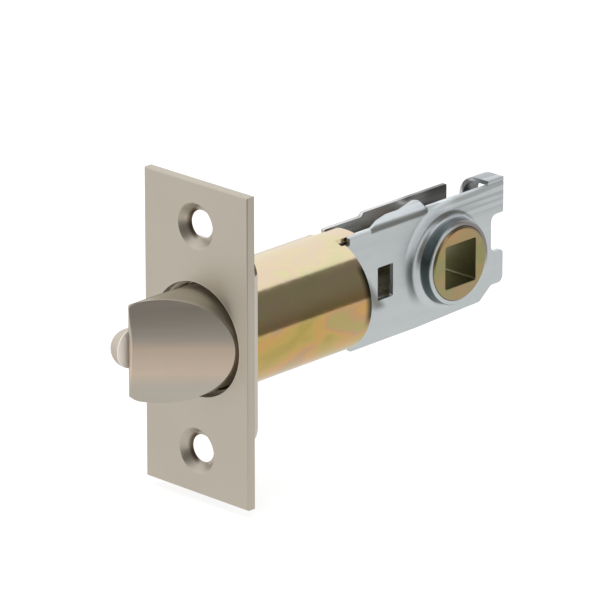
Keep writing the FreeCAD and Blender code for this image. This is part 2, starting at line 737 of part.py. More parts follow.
os.makedirs("parts", exist_ok=True)
for name, make in pieces.items():
    shape = make()
    print(name, len(shape.Solids), round(shape.Volume, 2), shape.isValid())
    shape.exportStep("parts/" + name + ".step")
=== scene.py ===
# %% [markdown]
# A tubular door latch, dressed for a photograph.
#
# The latch comes from CAD as a fixed frame: every piece already has its real size and place.
# Blender gives it what the CAD leaves out, which is the finish of each metal, the small
# rounding that every stamped or turned edge has, springs with closed ends, and the light.
# Lengths are metres, as everywhere in Blender, so a millimetre has a name of its own.

import json
import math

import bmesh
import bpy
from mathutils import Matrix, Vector

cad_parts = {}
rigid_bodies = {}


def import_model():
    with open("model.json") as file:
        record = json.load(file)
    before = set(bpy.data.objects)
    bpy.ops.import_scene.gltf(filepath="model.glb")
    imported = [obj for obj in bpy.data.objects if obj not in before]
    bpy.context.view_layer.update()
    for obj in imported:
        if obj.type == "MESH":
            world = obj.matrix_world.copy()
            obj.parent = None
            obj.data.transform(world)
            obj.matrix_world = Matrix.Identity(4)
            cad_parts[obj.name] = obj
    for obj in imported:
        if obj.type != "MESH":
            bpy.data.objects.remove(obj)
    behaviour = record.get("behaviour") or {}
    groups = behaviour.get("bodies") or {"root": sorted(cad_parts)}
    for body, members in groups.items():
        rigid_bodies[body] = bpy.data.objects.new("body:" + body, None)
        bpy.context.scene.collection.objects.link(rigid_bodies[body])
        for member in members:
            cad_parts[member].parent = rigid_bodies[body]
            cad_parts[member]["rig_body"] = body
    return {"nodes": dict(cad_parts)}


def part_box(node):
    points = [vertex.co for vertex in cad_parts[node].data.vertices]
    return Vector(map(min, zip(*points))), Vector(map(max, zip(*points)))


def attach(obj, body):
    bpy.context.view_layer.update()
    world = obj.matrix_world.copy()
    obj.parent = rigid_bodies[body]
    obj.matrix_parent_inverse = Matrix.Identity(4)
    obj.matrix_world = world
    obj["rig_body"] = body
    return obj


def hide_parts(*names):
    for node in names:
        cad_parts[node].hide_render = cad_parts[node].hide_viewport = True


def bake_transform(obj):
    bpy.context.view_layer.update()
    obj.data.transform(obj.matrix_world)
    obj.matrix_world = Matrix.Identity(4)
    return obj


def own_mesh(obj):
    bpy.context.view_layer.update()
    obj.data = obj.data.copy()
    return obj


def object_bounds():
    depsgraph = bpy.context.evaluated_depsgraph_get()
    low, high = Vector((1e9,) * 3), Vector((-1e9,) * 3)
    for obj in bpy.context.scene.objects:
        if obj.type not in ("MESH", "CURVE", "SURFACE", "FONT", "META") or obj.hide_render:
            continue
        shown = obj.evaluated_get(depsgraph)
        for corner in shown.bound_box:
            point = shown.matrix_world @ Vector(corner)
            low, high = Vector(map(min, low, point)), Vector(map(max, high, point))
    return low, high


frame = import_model()
nodes = frame["nodes"]
MM = 0.001
cad_low, cad_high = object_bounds()
print("CAD box in mm:", [round(v / MM, 2) for v in (*cad_low, *cad_high)])

# %% [markdown]
# The camera is a long lens, far away, as catalogue pictures are taken. Its direction and
# distance were worked out from the corners of the faceplate and the hub in the photograph.
# The direction is given as an azimuth and an elevation, and a target on the latch keeps it
# readable. The small slide sideways and up centres the picture as the photograph has it.

# %% Camera
CAMERA_AZIMUTH = math.radians(43.708)
CAMERA_ELEVATION = math.radians(19.972)
CAMERA_DISTANCE = 1094.21 * MM
CAMERA_TARGET = Vector((0, 25 * MM, 0))
PICTURE_SIZE = 600
FOCAL_PIXELS = 6241.0
SENSOR_WIDTH = 36
SLIDE_RIGHT = 0.677 * MM
SLIDE_UP = 0.605 * MM

level = math.cos(CAMERA_ELEVATION)
camera_back = Vector((math.sin(CAMERA_AZIMUTH) * level, -math.cos(CAMERA_AZIMUTH) * level,
                      math.sin(CAMERA_ELEVATION)))
camera_right = Vector((math.cos(CAMERA_AZIMUTH), math.sin(CAMERA_AZIMUTH), 0))
camera_up = camera_back.cross(camera_right)
camera = bpy.data.objects.new("camera", bpy.data.cameras.new("camera"))
camera.data.sensor_width = SENSOR_WIDTH
camera.data.lens = FOCAL_PIXELS / PICTURE_SIZE * SENSOR_WIDTH
camera.location = (CAMERA_TARGET + camera_back * CAMERA_DISTANCE
                   + camera_right * SLIDE_RIGHT + camera_up * SLIDE_UP)
camera.rotation_euler = (-camera_back).to_track_quat("-Z", "Y").to_euler()
camera.data.clip_start = 0.05
camera.data.clip_end = 20
bpy.context.scene.collection.objects.link(camera)
bpy.context.scene.camera = camera
bpy.context.scene.view_settings.view_transform = "Standard"
print("lens", round(camera.data.lens, 1), "mm at", round(CAMERA_DISTANCE, 3), "m")

# %% [markdown]
# A node tree is arithmetic on sockets. Wiring each Math node by hand hides the formula, so one
# small class wraps a socket and lets Python's own signs add the nodes: 1 - mask * 0.3 reads
# as what it does. Every other node comes from one method, which sets its options first and
# then its sockets. Numbers alone are still worked out in Python, before they reach a node.
# The same two classes serve finishes and Geometry Nodes, because both kinds of tree share
# the Math node.


# %% Node arithmetic
class Signal:
    """A node's socket that Python's signs can reckon with."""

    def __init__(self, sheet, socket):
        self.sheet = sheet
        self.socket = socket

    def reckon(self, operation, first, second):
        return self.sheet.node("Math", {"operation": operation}, {0: first, 1: second})

    def __add__(self, other):
        return self.reckon("ADD", self, other)

    def __sub__(self, other):
        return self.reckon("SUBTRACT", self, other)

    def __mul__(self, other):
        return self.reckon("MULTIPLY", self, other)

    def __rsub__(self, other):
        return self.reckon("SUBTRACT", other, self)

    def __truediv__(self, other):
        return self.reckon("DIVIDE", self, other)

    def root(self):
        return self.reckon("SQRT", self, 0.0)

    __radd__ = __add__
    __rmul__ = __mul__


class Sheet:
    """The node tree of one finish, floor, sky or shape."""

    def __init__(self, tree):
        self.tree = tree
        self.tree.nodes.clear()

    def node(self, kind, settings=(), sockets=(), out=0):
        made = self.tree.nodes.new(kind if "Node" in kind else "ShaderNode" + kind)
        for name, value in dict(settings).items():
            if name == "stops":
                ramp = made.color_ramp.elements
                while len(ramp) < len(value):
                    ramp.new(0.5)
                for element, (place, colour) in zip(ramp, value):
                    element.position = place
                    element.color = (*colour, 1)
            else:
                setattr(made, name, value)
        for name, value in dict(sockets).items():
            if isinstance(value, Signal):
                self.tree.links.new(value.socket, made.inputs[name])
            else:
                made.inputs[name].default_value = value
        return Signal(self, made.outputs[out]) if len(made.outputs) else None

    def place(self):
        """The x, y and z of a point in the frame, in metres."""
        parts = self.tree.nodes.new("ShaderNodeSeparateXYZ")
        self.tree.links.new(self.node("TexCoord", out="Object").socket, parts.inputs[0])
        return [Signal(self, part) for part in parts.outputs]

    def rise(self, value, low, high):
        """0 below low and 1 above high, with a soft step between; low may be the greater."""
        return self.node("MapRange", {"interpolation_type": "SMOOTHSTEP"},
                         {0: value, 1: low, 2: high})

    def blend(self, share, first, second):
        """A colour that goes from the first to the second as share goes from 0 to 1."""
        colours = [c if isinstance(c, Signal) else (*c, 1) for c in (first, second)]
        return self.node("Mix", {"data_type": "RGBA"},
                         {0: share, 6: colours[0], 7: colours[1]}, out=2)


def new_finish(name):
    """An empty material and the sheet of its nodes."""
    material = bpy.data.materials.new(name)
    material.use_nodes = True
    return material, Sheet(material.node_tree)


print("node trees are written as sums of", Signal.__name__, "objects")

# %% [markdown]
# Metal has hardly a colour of its own: it shows what stands round it. A catalogue picture of
# bright metal is therefore made by the studio. A white table lies below and a wide soft box
# hangs above. Two dark cards, which painters call flags, stand behind and in front on the
# right. They draw the dark band along the tube, and, with the bolt's painted shade, the dark top
# of the bolt. The cards are seen only by reflections, so they neither show nor take light away.

# %% Floor and sky
TABLE_DROP = 1.5 * MM
TABLE_SIDE = 6.0
TABLE_GLOW = 0.80
SKY_FILL = 0.75
SKY_SHINE = 0.92

table = bpy.data.objects.new("table", bpy.data.meshes.new("table"))
half = TABLE_SIDE / 2
table_z = cad_low.z - TABLE_DROP
table.data.from_pydata([(-half, -half, table_z), (half, -half, table_z),
                        (half, half, table_z), (-half, half, table_z)], [], [(0, 1, 2, 3)])
bpy.context.scene.collection.objects.link(table)

paper, sheet = new_finish("table_paper")
ray = "LightPath"
camera_ray = sheet.node(ray, out="Is Camera Ray")
shine_ray = sheet.node(ray, out="Is Glossy Ray") + sheet.node(ray, out="Is Transmission Ray")
lit = sheet.node("BsdfDiffuse", (), {"Color": (0.82, 0.82, 0.82, 1)})
white = sheet.node("Emission", (), {"Color": (1, 1, 1, 1), "Strength": TABLE_GLOW})
faint = sheet.node("BsdfDiffuse", (), {"Color": (0.22, 0.22, 0.22, 1)})
seen = sheet.node("AddShader", (), {0: white, 1: faint})
shone = sheet.node("Emission", (), {"Color": (1, 0.985, 0.96, 1), "Strength": TABLE_GLOW})
base = sheet.node("MixShader", (), {0: shine_ray, 1: lit, 2: shone})
top = sheet.node("MixShader", (), {0: camera_ray, 1: base, 2: seen})
sheet.node("OutputMaterial", (), {"Surface": top})
table.data.materials.append(paper)

world = bpy.data.worlds.new("studio")
world.use_nodes = True
bpy.context.scene.world = world
sheet = Sheet(world.node_tree)
camera_ray = sheet.node(ray, out="Is Camera Ray")
shine_ray = sheet.node(ray, out="Is Glossy Ray") + sheet.node(ray, out="Is Transmission Ray")
strength = camera_ray + (1 - camera_ray) * (shine_ray * SKY_SHINE + (1 - shine_ray) * SKY_FILL)
sky = sheet.node("Background", (), {"Color": (1, 1, 1, 1), "Strength": strength})
sheet.node("OutputWorld", (), {"Surface": sky})
print("table", round(table_z / MM, 1), "mm under the axis of the bolt")


# %% Lamps and flags
def soft_box(name, place, aim, width, height, power):
    """A rectangular lamp that looks from its place towards aim."""
    lamp = bpy.data.objects.new(name, bpy.data.lights.new(name, "AREA"))
    lamp.data.shape = "RECTANGLE"
    lamp.data.size = width
    lamp.data.size_y = height
    lamp.data.energy = power
    lamp.location = place
    lamp.rotation_euler = (Vector(aim) - Vector(place)).to_track_quat("-Z", "Y").to_euler()
    lamp.visible_glossy = False
    bpy.context.scene.collection.objects.link(lamp)
    return lamp


def flag(name, bearing, distance, width, low, high, shade):
    """An upright card at a compass bearing from +X, seen only in reflections."""
    facing = Vector((math.cos(bearing), math.sin(bearing), 0))
    along = Vector((-math.sin(bearing), math.cos(bearing), 0))
    centre = CAMERA_TARGET + facing * distance
    corners = [centre + along * (side * width / 2) + Vector((0, 0, z))
               for side, z in ((-1, low), (1, low), (1, high), (-1, high))]
    card = bpy.data.objects.new(name, bpy.data.meshes.new(name))
    card.data.from_pydata([tuple(c) for c in corners], [], [(0, 1, 2, 3)])
    cloth, drawing = new_finish(name + "_cloth")
    glow = drawing.node("Emission", (), {"Color": (*shade, 1), "Strength": 1.0})
    drawing.node("OutputMaterial", (), {"Surface": glow})
    card.data.materials.append(cloth)
    bpy.context.scene.collection.objects.link(card)
    for kind in ("camera", "diffuse", "transmission", "volume_scatter", "shadow"):
        setattr(card, "visible_" + kind, False)
    return card


over = soft_box("overhead", (0.05, 0.10, 0.9), CAMERA_TARGET, 1.1, 1.1, 9.0)
key = soft_box("upper_left", (-0.55, -0.35, 0.55), CAMERA_TARGET, 0.5, 0.5, 3.0)
flag("rear_flag", math.radians(47), 0.26, 0.235, table_z, 0.38, (0.17, 0.16, 0.14))
flag("front_flag", math.radians(-43), 0.16, 0.30, table_z, 0.30, (0.14, 0.13, 0.12))
print("two soft boxes and two flags")

# %% [markdown]
# Each finish starts from the same thing: a metal whose colour, roughness and surface change a
# little from place to place. Satin nickel is brushed, so its noise is stretched along the
# brushing. Zinc plate is bright and slightly mottled. Yellow zinc has a thin clear film that
# shows straw, green and rose where its thickness changes, so its colour runs through a ramp.
# Object coordinates are the frame's own metres, so a Mapping scale is waves per metre.


# %% Metal finishes
def finish_metal(sheet, colour, rough, height, depth, metallic=1.0):
    """Joins colour, roughness and relief into one metal and its output."""
    relief = sheet.node("Bump", (), {"Strength": 1.0, "Distance": depth, "Height": height},
                        out="Normal")
    metal = sheet.node("BsdfPrincipled", (), {"Base Color": colour, "Metallic": metallic,
                                              "Roughness": rough, "Normal": relief})
    sheet.node("OutputMaterial", (), {"Surface": metal})


def noise(sheet, scale, detail=3.0, twist=0.0, shift=(0, 0, 0)):
    """Noise from 0 to 1 with its own number of waves per metre along each axis."""
    place = sheet.node("TexCoord", out="Object")
    place = sheet.node("Mapping", (), {"Vector": place, "Scale": scale, "Location": shift})
    return sheet.node("TexNoise", (), {"Vector": place, "Scale": 1.0, "Detail": detail,
                                       "Distortion": twist})


def brushed(sheet, light, dark, scale, rough, streak=0.5):
    """Tone, roughness and grain of a brushed plate over a slow change of tone."""
    grain = noise(sheet, scale, 4.0)
    cloud = noise(sheet, (90, 90, 90), 2.0, shift=(3, 5, 7))
    tone = sheet.blend(grain * streak + cloud * (1 - streak), dark, light)
    return tone, grain * 0.14 + (cloud * 0.10 + rough), grain


def satin(name, light, dark, scale, rough):
    """Brushed plate, the same all over."""
    material, sheet = new_finish(name)
    tone, roughness, grain = brushed(sheet, light, dark, scale, rough)
    finish_metal(sheet, tone, roughness, grain, 0.004 * MM)
    return material


def plate_finish(name):
    """The faceplate's nickel, duller and less metallic on the wall of the bolt's hole, with painted shade
    on the deep side of each screw hole.
    """
    material, sheet = new_finish(name)
    tone, roughness, grain = brushed(sheet, (0.69, 0.635, 0.545), (0.60, 0.55, 0.47),
                                     (2600, 2600, 130), 0.30, 0.25)
    x, y, z = sheet.place()
    hole = sheet.rise((x * x + z * z).root(), 10.55 * MM, 10.42 * MM)
    tone = sheet.blend(hole, tone, (0.70, 0.64, 0.55))
    up = (z * z).root() - 20.65 * MM
    # painted shade on the deep left side of each countersunk screw hole
    screw = sheet.rise((x * x + up * up).root(), 3.3 * MM, 2.7 * MM) * sheet.rise(x, -0.4 * MM, -1.6 * MM)
    tone = sheet.blend(screw, tone, (0.20, 0.15, 0.10))
    finish_metal(sheet, tone, roughness + hole * 0.3, grain, 0.003 * MM, hole * -0.7 + 1.0)
    return material


def bolt_finish(name):
    """The bolt's nickel, with painted light in a pinkish band low on its face, painted shade at the top
    and on the round side, and painted shade where it goes into the hole.
    """
    material, sheet = new_finish(name)
    tone, roughness, grain = brushed(sheet, (0.68, 0.635, 0.56), (0.62, 0.575, 0.50),
                                     (1500, 1500, 1500), 0.32)
    x, y, z = sheet.place()
    # painted light: a lighter pinkish band across the lower middle of the sloped face
    rosy_painted_light = sheet.rise(z, 3.2 * MM, 0.4 * MM) * sheet.rise(z, -7.0 * MM, -3.0 * MM)
    tone = sheet.blend(rosy_painted_light * 0.8, tone, (0.88, 0.72, 0.58))
    behind = (y + 12.7 * MM) * 0.694 - (x + 2.8 * MM) * 0.720 - z * z / (100 * MM)
    # painted shade on the round side behind the sloped face, which takes in its top
    side = sheet.rise(behind, 0.25 * MM, 0.80 * MM)
    tone = sheet.blend(side * 0.8, tone, (0.50, 0.465, 0.385))
    # painted shade where the bolt goes into the hole
    root = sheet.rise(y, -0.2 * MM, 0.6 * MM)
    tone = sheet.blend(root * 0.5, tone, DEEP_SHADE)
    finish_metal(sheet, tone, roughness, grain, 0.003 * MM)
    return material


def plunger_finish(name):
    """The plunger's nickel, with painted light on the flat that slides along the bolt, which is also
    duller and less metallic.
    """
    material, sheet = new_finish(name)
    tone, roughness, grain = brushed(sheet, (0.76, 0.68, 0.60), (0.68, 0.60, 0.52),
                                     (2200, 2200, 900), 0.34)
    x, y, z = sheet.place()
    # painted light: the flat lies in the bolt's shade, so it is painted lighter and made duller and less
    # metallic to catch the lamps
    flat = sheet.rise(x, -4.95 * MM, -4.82 * MM)
    tone = sheet.blend(flat, tone, (0.80, 0.73, 0.66))
    finish_metal(sheet, tone, roughness + flat * 0.35, grain, 0.003 * MM, flat * -0.8 + 1.0)
    return material


def bright_zinc(sheet, light, dark, rough):
    """Clear zinc plate: bluish white, with soft clouds, faint streaks and a fine peel."""
    cloud = noise(sheet, (160, 160, 160), 3.0, 0.6)
    streak = noise(sheet, (500, 45, 500), 2.0, shift=(1, 1, 4))
    peel = noise(sheet, (600, 600, 600), 2.0)
    tone = sheet.blend(cloud * 0.5 + streak * 0.5, dark, light)
    return tone, cloud * 0.14 + (peel * 0.05 + rough), peel


def case_finish(name, far_plate):
    """Zinc of a case plate, with painted shade on its inner side, on the collar's wall and top edge, in a
    ring round the collar and on the far plate's rear tab, painted reflections as dark streaks up top, and
    the tube's painted shadow on the near plate.
    """
    material, sheet = new_finish(name)
    tone, roughness, peel = bright_zinc(sheet, (0.80, 0.85, 0.87), (0.56, 0.61, 0.64), 0.25)
    x, y, z = sheet.place()
    behind = y - 60.3 * MM
    ring = (behind * behind + z * z).root()
    front = sheet.rise(behind, 3.0 * MM, -5.0 * MM)
    middle = sheet.rise(z, 3.5 * MM, -0.5 * MM) * sheet.rise(z, -7.5 * MM, -3.5 * MM)
    # painted shade: a dark ring round the collar, in front of the hub
    collar_ring_shade = sheet.rise(ring, 11.4 * MM, 10.0 * MM) * sheet.rise(ring, 9.0 * MM, 9.6 * MM)
    tone = sheet.blend(collar_ring_shade * front * middle * 0.55, tone, (0.15, 0.18, 0.20))
    # painted shade on the wall of the collar
    wall = sheet.rise(ring, 8.8 * MM, 8.4 * MM) * sheet.rise(x, 4.2 * MM, 4.5 * MM)
    wall = wall * sheet.rise(x, 6.4 * MM, 6.25 * MM)
    tone = sheet.blend(wall * (front * 0.72 + 0.18), tone, (0.07, 0.10, 0.10))
    # painted shade on the collar's top edge beside the hub, towards the upper right
    lip_shade = sheet.rise(x, 6.0 * MM, 6.3 * MM) * sheet.rise(ring, 8.4 * MM, 7.4 * MM)
    tone = sheet.blend(lip_shade * sheet.rise(behind + z, 4.0 * MM, 8.0 * MM) * 0.75, tone, (0.22, 0.17, 0.15))
    # painted reflections: soft dark streaks on the upper part, which also streak the painted shade of the
    # inner side
    reflected_bands = sheet.rise(noise(sheet, (900, 30, 900), 2.0, shift=(0, 3, 1)), 0.42, 0.58)
    upper = sheet.rise(z, 5.0 * MM, 8.5 * MM) * sheet.rise(behind, -9.0 * MM, 0.0 * MM)
    tone = sheet.blend(upper * reflected_bands * 0.5, tone, (0.30, 0.31, 0.33))
    tab = sheet.rise(z, 10.9 * MM, 11.4 * MM) * sheet.rise(x, 2.0 * MM, 2.5 * MM)
    tab = tab * sheet.rise(y, 62.0 * MM, 56.0 * MM)
    foot = sheet.rise(ring, 11.6 * MM, 11.0 * MM) * sheet.rise(ring, 8.95 * MM, 9.2 * MM)
    foot = foot * sheet.rise(z, 1.0 * MM, 5.0 * MM) * sheet.rise(behind, 3.0 * MM, -1.0 * MM)
    # painted shadow of the tube on the near plate, past a slanting edge; the distance past it is reckoned
    # from one point of the edge and its direction
    past = (y - 39.4 * MM) * 0.8 + (z - 0.8 * MM) * 0.6
    tube_shadow = sheet.rise(past, 1.2 * MM, -0.3 * MM) * sheet.rise(past, -3.0 * MM, -0.6 * MM)
    tube_shadow = tube_shadow * sheet.rise(z, 3.0 * MM, 1.0 * MM) * sheet.rise(z, -5.4 * MM, -4.0 * MM)
    if far_plate:
        # painted shade on the far plate's inner side, and on the rolled edge of its rear tab
        hollow_shade = sheet.rise(x, -3.46 * MM, -3.38 * MM) * sheet.rise(y, 70.9 * MM, 70.0 * MM)
        curl_shade = sheet.rise(x, -2.9 * MM, -2.7 * MM) * sheet.rise(z, 11.5 * MM, 10.9 * MM)
        curl_shade = curl_shade * sheet.rise(y, 70.9 * MM, 71.1 * MM)
        tone = sheet.blend(curl_shade * 0.85, tone, (0.12, 0.12, 0.12))
    else:
        # painted shade on the near plate's inner side, and the tube's painted shadow on its outer face
        hollow_shade = sheet.rise(x, 2.85 * MM, 2.74 * MM) * sheet.rise(z, 10.2 * MM, 9.6 * MM)
        tone = sheet.blend(tube_shadow * 0.75, tone, (0.18, 0.18, 0.16))
    # the inner side's painted shade, streaked and darker towards the rear
    shade = sheet.blend(reflected_bands, (0.50, 0.50, 0.49), (0.86, 0.86, 0.84))
    shade = sheet.blend(sheet.rise(y, 53.0 * MM, 58.0 * MM) * 0.7, shade, (0.16, 0.16, 0.16))
    tone = sheet.blend(hollow_shade, tone, shade)
    lit = foot * 0.6 + tab * 0.25
    finish_metal(sheet, tone, roughness + tab * 0.45, peel, 0.002 * MM, lit * -1.0 + 1.0)
    return material


def inner_zinc(name):
    """Zinc of the pieces inside the case, painted lighter to make up for the shade they stand in."""
    material, sheet = new_finish(name)
    tone, roughness, peel = bright_zinc(sheet, (0.93, 0.95, 0.95), (0.62, 0.64, 0.65), 0.42)
    finish_metal(sheet, tone, roughness, peel, 0.004 * MM, 0.6)
    return material


def yellow_zinc(sheet, stops, waves, shift=(0, 0, 0)):
    """Yellow zinc plate: the film's colours run through a ramp in slow soft patches."""
    film = noise(sheet, (waves, waves * 0.45, waves), 1.5, 0.5, shift)
    return sheet.node("ValToRGB", {"stops": stops}, {"Fac": film})


def tube_finish(name):
    """The tube's film, painted paler above and darker and richer below as light falls on it, with a paler
    flange, painted light at its open front end, and painted shade in the bore, underneath near the front,
    and in a dark line near the far end.
    """
    material, sheet = new_finish(name)
    x, y, z = sheet.place()
    mottle = noise(sheet, (900, 500, 900), 3.0, shift=(2, 4, 6))
    # painted light: the film is made paler above and darker and richer below, as light falls on the tube;
    # the patches within each are the film's own colours
    upper = yellow_zinc(sheet, LIT_PALE_FILM, 190)
    shaded_lower = yellow_zinc(sheet, SHADED_RICH_FILM, 210, (5, 1, 2))
    tone = sheet.blend(sheet.rise(z, 5.5 * MM, 0.5 * MM), upper, shaded_lower)
    ring = (x * x + z * z).root()
    flange = sheet.rise(y, 2.75 * MM, 2.60 * MM) * sheet.rise(ring, 11.6 * MM, 12.0 * MM)
    tone = sheet.blend(flange, tone, (0.66, 0.62, 0.56))
    # painted light at the open front end, where the gap round the bolt would be dark, lightest on its
    # open upper side as a painted reflection of the bolt
    mouth_painted_light = sheet.rise(y, 4.2 * MM, 3.4 * MM) * sheet.rise(ring, 10.62 * MM, 10.58 * MM)
    open_side_reflection = sheet.rise(x, 3.0 * MM, -2.0 * MM) * sheet.rise(z, 2.0 * MM, 6.0 * MM)
    tone = sheet.blend(mouth_painted_light, tone, sheet.blend(open_side_reflection, (0.80, 0.72, 0.60), (0.93, 0.86, 0.75)))
    # painted shade inside the bore
    inside = sheet.rise(ring, 9.95 * MM, 9.85 * MM)
    tone = sheet.blend(inside * 0.85, tone, (0.34, 0.29, 0.20))
    # painted shade on the underside near the front
    under = sheet.rise(z, -7.6 * MM, -10.2 * MM) * sheet.rise(y, 3.5 * MM, 5.0 * MM)
    tone = sheet.blend(under * 0.45, tone, (0.30, 0.22, 0.10))
    # painted shade: a dark line along the tube near its far end
    rim_shade = sheet.rise(y, 31.2 * MM, 32.9 * MM) * sheet.rise(z, 7.6 * MM, 6.0 * MM)
    tone = sheet.blend(rim_shade * sheet.rise(z, -4.5 * MM, -1.5 * MM), tone, (0.07, 0.07, 0.04))
    finish_metal(sheet, tone, mottle * 0.08 + 0.09, mottle, 0.003 * MM, (mouth_painted_light + inside) * -0.5 + 1.0)
    return material


def hub_finish(name):
    """The hub's film: olive, warmer towards the top of its face, with painted shade in the square hole
    and along its upper right edge.
    """
    material, sheet = new_finish(name)
    x, y, z = sheet.place()
    mottle = noise(sheet, (900, 900, 900), 3.0)
    tone = yellow_zinc(sheet, HUB_FILM, 260)
    behind = y - 60.3 * MM
    warm = sheet.rise(z, 2.4 * MM, 6.4 * MM) * sheet.rise(behind, 6.5 * MM, -2.0 * MM)
    tone = sheet.blend(warm * 0.8, tone, (0.60, 0.36, 0.20))
    # painted shade inside the square hole
    across = sheet.rise(behind * behind, 16.6 * MM * MM, 16.0 * MM * MM)
    upright = sheet.rise(z * z, 16.6 * MM * MM, 16.0 * MM * MM)
    tone = sheet.blend(across * upright, tone, (0.31, 0.30, 0.19))
    # painted shade along the hub's upper right edge, where it meets the collar
    outline_shade = sheet.rise((behind * behind + z * z).root(), 6.45 * MM, 6.75 * MM)
    tone = sheet.blend(outline_shade * sheet.rise(behind + z, 1.0 * MM, 5.0 * MM), tone, (0.16, 0.13, 0.09))
    finish_metal(sheet, tone, mottle * 0.10 + 0.26, mottle, 0.003 * MM)
    return material


DEEP_SHADE = (0.42, 0.36, 0.29)
# film colours of the tube, painted paler for its upper side and darker for the side below, and the hub's
# own film
LIT_PALE_FILM = [(0.34, (0.82, 0.75, 0.46)), (0.46, (0.88, 0.75, 0.48)), (0.56, (0.88, 0.71, 0.53)),
             (0.68, (0.84, 0.76, 0.46))]
SHADED_RICH_FILM = [(0.32, (0.53, 0.41, 0.12)), (0.44, (0.60, 0.45, 0.14)), (0.53, (0.70, 0.42, 0.15)),
             (0.61, (0.62, 0.39, 0.21)), (0.72, (0.54, 0.44, 0.18))]
HUB_FILM = [(0.36, (0.38, 0.36, 0.17)), (0.47, (0.44, 0.36, 0.16)), (0.56, (0.47, 0.35, 0.20)),
            (0.66, (0.41, 0.37, 0.19))]
nickel = plate_finish("satin_nickel_plate")
bolt_nickel = bolt_finish("satin_nickel_bolt")
plunger_nickel = plunger_finish("satin_nickel_plunger")
tube_zinc = tube_finish("yellow_zinc_tube")
hub_zinc = hub_finish("yellow_zinc_hub")
near_zinc = case_finish("bright_zinc_near", False)
far_zinc = case_finish("bright_zinc_far", True)
lightened_inner_zinc = inner_zinc("bright_zinc_inner")
drawn_steel = satin("drawn_steel", (0.60, 0.60, 0.60), (0.48, 0.48, 0.49),
                    (1400, 300, 1400), 0.24)
spring_steel = satin("spring_steel", (0.46, 0.46, 0.48), (0.34, 0.34, 0.36),
                     (900, 900, 900), 0.22)
print(len(bpy.data.materials), "materials so far")

# %% [markdown]
# No stamped or turned edge is sharp: each shows a thin line of light. The CAD solids have
# sharp edges there, so each visible piece is remade from a copy of its node. The copy's loose
# triangles are merged, flat ones are joined into whole faces, and a Bevel modifier rounds only
# the edges that turn sharply. A shader trick could fake this, but the mesh would stay sharp.
# A Weighted Normal modifier then lets the large faces set the shading, so that they stay flat.


# %% Softened edges
def plain_mesh(work, name):
    """The evaluated shape of an object as a new plain mesh object in its place."""
    depsgraph = bpy.context.evaluated_depsgraph_get()
    mesh = bpy.data.meshes.new_from_object(work.evaluated_get(depsgraph))
    piece = bpy.data.objects.new(name, mesh)
    bpy.context.scene.collection.objects.link(piece)
    bpy.data.objects.remove(work)
    return piece


NOSE_START = -11.3 * MM
NOSE_TIP = -12.7 * MM
NOSE_DROP = 0.075


def drawn_in(mesh):
    """Rounds the two ends of the bolt's front edge, which the edge rounding leaves square."""
    for vertex in mesh.vertices:
        share = (NOSE_START - vertex.co.y) / (NOSE_START - NOSE_TIP)
        if share > 0:
            vertex.co.z *= 1 - NOSE_DROP * share * share


def softened(node, name, width, material, segments=2):
    """A copy of a CAD node with rounded edges, which rides and stands in for it."""
    work = bpy.data.objects.new("work", nodes[node].data.copy())
    bpy.context.scene.collection.objects.link(work)
    shape = bmesh.new()
    shape.from_mesh(work.data)
    bmesh.ops.remove_doubles(shape, verts=shape.verts, dist=0.0005 * MM)
    bmesh.ops.dissolve_limit(shape, angle_limit=math.radians(0.4), verts=shape.verts,
                             edges=shape.edges)
    shape.to_mesh(work.data)
    shape.free()
    bevel = work.modifiers.new("soft_edge", "BEVEL")
    bevel.width = width
    bevel.segments = segments
    bevel.limit_method = "ANGLE"
    bevel.angle_limit = math.radians(38)
    bevel.miter_outer = "MITER_ARC"
    rounded = plain_mesh(work, "rounded")
    if node == "latch_bolt":
        drawn_in(rounded.data)
    rounded.data.materials.clear()
    rounded.data.materials.append(material)
    rounded.data.shade_smooth()
    rounded.data.set_sharp_from_angle(angle=math.radians(34))
    even = rounded.modifiers.new("even_shading", "WEIGHTED_NORMAL")
    even.keep_sharp = True
    even.weight = 100
    piece = plain_mesh(rounded, name)
    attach(piece, nodes[node]["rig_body"])
    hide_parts(node)
    print(name, len(piece.data.polygons), "faces")
    return piece


def dressed(node, material):
    """A CAD node that keeps its shape and only takes a finish."""
    nodes[node].data.materials.clear()
    nodes[node].data.materials.append(material)
    print(node, "dressed in", material.name)


# %% [markdown]
# A spring follows a rule, so Geometry Nodes make it: a line is resampled into many points, and
# each point is lifted onto a helix by arithmetic. The first and last turn lie nearly flat, as
# on a real compression spring, and the turns between share what is left of the length. The
# inputs of the tree are its sizes, so one tree makes both springs. The box of each CAD spring
# gives the ends.


# %% Springs
STEPS_PER_TURN = 28
WIRE_SIDES = 12
CLOSED_PITCH = 1.15


